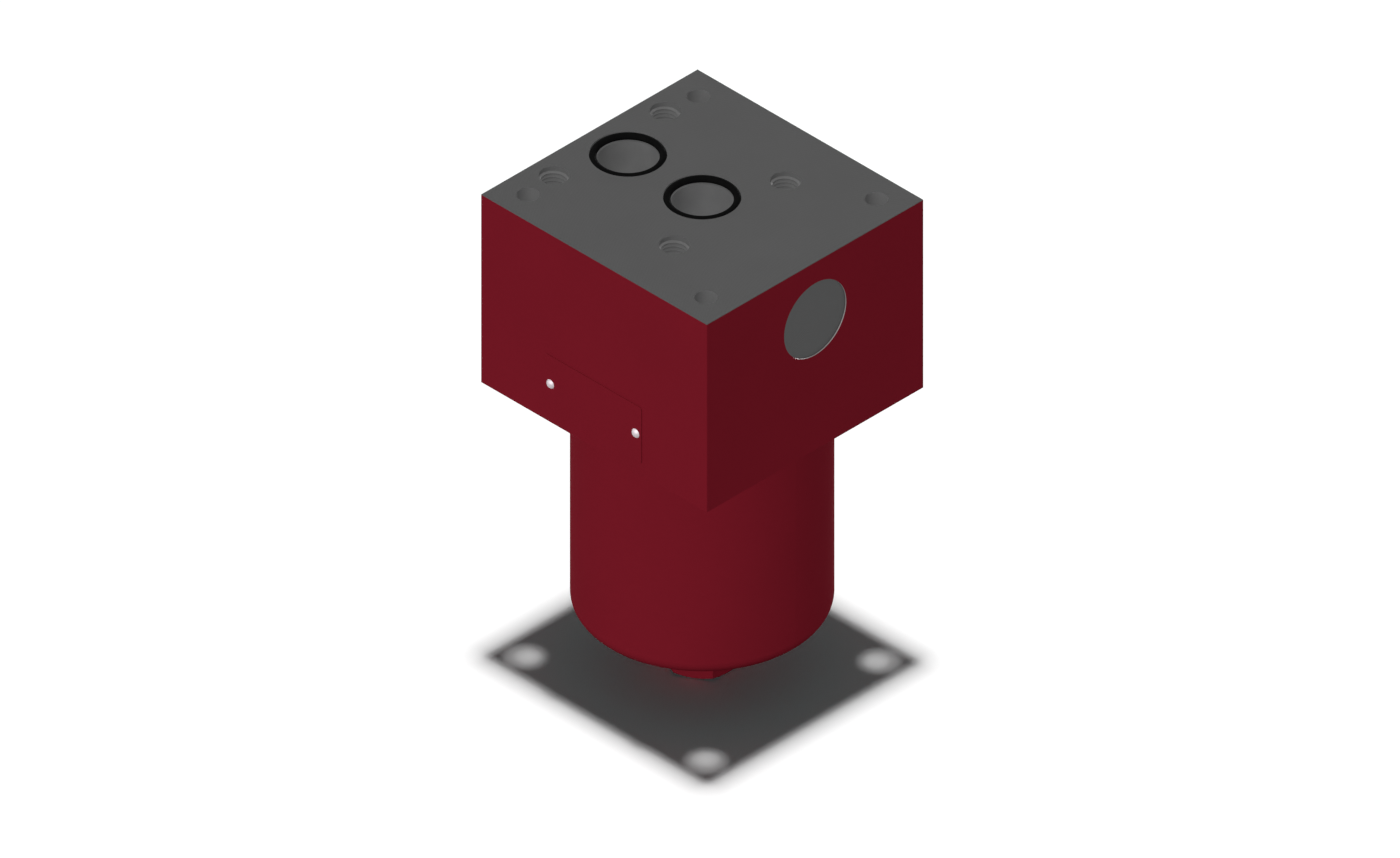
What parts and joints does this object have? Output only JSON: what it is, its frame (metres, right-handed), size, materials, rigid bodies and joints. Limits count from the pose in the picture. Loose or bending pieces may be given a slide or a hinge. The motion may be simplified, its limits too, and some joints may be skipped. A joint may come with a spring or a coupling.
{
  "type": "hydraulic pressure filter",
  "caption": "Manifold-mounted hydraulic pressure filter: square ported head with face O-rings and a screw-in bowl that holds a pleated element and a bypass valve.",
  "frame": {"origin": "centre of the head's top mating face, on the bowl's axis and in the outlet port's mouth", "axes": "+Z out of the mating face into the manifold, +X out of the side with the indicator's reference plane, -Y out of the side with the nameplate"},
  "size_m": [0.122, 0.1186, 0.2163],
  "materials": {
    "red_paint": "satin paint over iron and steel; bare where machined",
    "rubber": "matte black nitrile rubber",
    "bright_metal": "bright rolled heads",
    "turned_steel": "fine turned",
    "plated_sheet": "zinc-plated pressed sheet",
    "spring_steel": "drawn wire",
    "filter_media": "matte glass-fibre sheet",
    "backup_plastic": "smooth white plastic"
  },
  "bodies": {
    "head": {"filter_head": "red_paint", "inlet_o_ring": "rubber", "outlet_o_ring": "rubber", "nameplate": "red_paint", "nameplate_rivets": "bright_metal", "element_spigot": "turned_steel", "spigot_o_ring": "rubber", "element_top_cap": "plated_sheet", "element_bottom_cap": "plated_sheet", "element_core": "plated_sheet", "element_media": "filter_media", "element_seam_clip": "plated_sheet", "element_wrap": "plated_sheet", "element_o_ring": "rubber", "bypass_seat": "turned_steel", "bypass_spring": "spring_steel"},
    "bowl_seals": {"bowl_o_ring": "rubber", "bowl_backup_ring": "backup_plastic"},
    "bowl": {"filter_bowl": "red_paint"},
    "bypass": {"bypass_poppet": "turned_steel"}
  },
  "joints": [
    {"name": "bowl_travel", "type": "slide", "parent": "head", "child": "bowl_seals", "axis": [0, 0, -1], "range_m": [0, 0.024]},
    {"name": "bowl_unscrew", "type": "hinge", "parent": "bowl_seals", "child": "bowl", "pos_m": [0, 0, -0.1], "axis": [0, 0, -1], "range_deg": [0, 4320]},
    {"name": "bypass_lift", "type": "slide", "parent": "head", "child": "bypass", "axis": [0, 0, 1], "range_m": [0, 0.004], "stiffness_N_per_m": 4000, "springref_m": -0.004, "deforming": ["bypass_spring"]}
  ],
  "couplings": [
    {"joint": "bowl_travel", "follows": "bowl_unscrew", "m_per_rad": 0.00031831}
  ]
}
